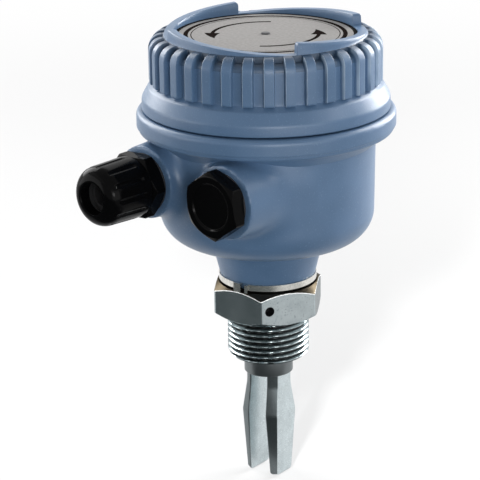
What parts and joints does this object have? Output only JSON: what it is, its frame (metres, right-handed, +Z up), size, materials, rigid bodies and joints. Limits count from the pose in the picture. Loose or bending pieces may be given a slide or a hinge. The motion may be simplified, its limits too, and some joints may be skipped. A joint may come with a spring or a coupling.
{
  "type": "tuning fork level switch",
  "caption": "Vibrating fork level switch with a round nylon housing, ribbed screw lid, cable gland, blanking plug and a threaded stainless process connection.",
  "frame": {"origin": "centre of the hexagon's underside, the seat of the process thread", "axes": "+Z up along the thread's axis towards the lid, -Y the way the conduit entries face"},
  "size_m": [0.1032, 0.1285, 0.191],
  "materials": {
    "blue_nylon": "fine moulded grain, semi-matt",
    "black_nylon": "moulded gloss",
    "stainless": "turned and bead-blasted",
    "bright_band": "bright rolled strip",
    "label": "printed film, satin",
    "lens": "smoked, polished",
    "seal_rubber": "matt",
    "white_plastic": "moulded",
    "ceramic": "fired, fine grain",
    "crystal": "ground",
    "brass": "stamped",
    "lead_sleeve": "extruded sleeve",
    "cassette_plastic": "moulded",
    "board": "lacquered laminate",
    "terminal_plastic": "moulded",
    "relay_case": "moulded gloss",
    "led_red": "clear tinted",
    "acrylic": "polished"
  },
  "bodies": {
    "housing": {"housing": "blue_nylon", "gland_body": "black_nylon", "gland_washer": "seal_rubber", "gland_seal": "seal_rubber", "retaining_ring": "bright_band", "neck_o_ring": "seal_rubber", "process_connection": "stainless", "fork": "stainless", "lower_insulator": "ceramic", "drive_crystal": "crystal", "drive_electrode": "brass", "pickup_crystal": "crystal", "pickup_electrode": "brass", "upper_insulator": "ceramic", "stack_nut": "stainless", "sensor_leads": "lead_sleeve", "electronics_cassette": "cassette_plastic", "cassette_base": "cassette_plastic", "cassette_screws": "stainless", "circuit_board": "board", "output_relay": "relay_case", "status_led": "led_red", "light_guide": "acrylic", "terminal_block": "terminal_plastic", "wire_clamps": "brass", "terminal_screws": "stainless"},
    "lid_seal": {"lid_o_ring": "seal_rubber"},
    "lid": {"lid": "blue_nylon", "lid_label": "label", "indicator_lens": "lens"},
    "slip_ring": {"gland_slip_ring": "white_plastic"},
    "dome_nut": {"gland_dome_nut": "black_nylon"},
    "plug_seal": {"plug_washer": "seal_rubber"},
    "plug": {"blanking_plug": "black_nylon"},
    "selector": {"mode_selector": "white_plastic"}
  },
  "joints": [
    {"name": "lid_lift", "type": "slide", "parent": "housing", "child": "lid_seal", "axis": [0, 0, 1], "range_m": [0, 0.014]},
    {"name": "lid_turn", "type": "hinge", "parent": "lid_seal", "child": "lid", "pos_m": [0, 0, 0.09], "axis": [0, 0, 1], "range_deg": [0, 1260]},
    {"name": "nut_slide", "type": "slide", "parent": "housing", "child": "slip_ring", "axis": [0, -1, 0], "range_m": [0, 0.009]},
    {"name": "nut_turn", "type": "hinge", "parent": "slip_ring", "child": "dome_nut", "pos_m": [-0.02095, -0.07, 0.0613], "axis": [0, -1, 0], "range_deg": [0, 2160]},
    {"name": "plug_slide", "type": "slide", "parent": "housing", "child": "plug_seal", "axis": [0, -1, 0], "range_m": [0, 0.009]},
    {"name": "plug_turn", "type": "hinge", "parent": "plug_seal", "child": "plug", "pos_m": [0.02095, -0.055, 0.0613], "axis": [0, -1, 0], "range_deg": [0, 2160]},
    {"name": "selector_turn", "type": "hinge", "parent": "housing", "child": "selector", "pos_m": [0.016, 0.015, 0.074], "axis": [0, 0, 1], "range_deg": [0, 324]}
  ],
  "couplings": [
    {"joint": "lid_lift", "follows": "lid_turn", "m_per_rad": 0.00063662},
    {"joint": "nut_slide", "follows": "nut_turn", "m_per_rad": 0.00023873},
    {"joint": "plug_slide", "follows": "plug_turn", "m_per_rad": 0.00023873}
  ]
}
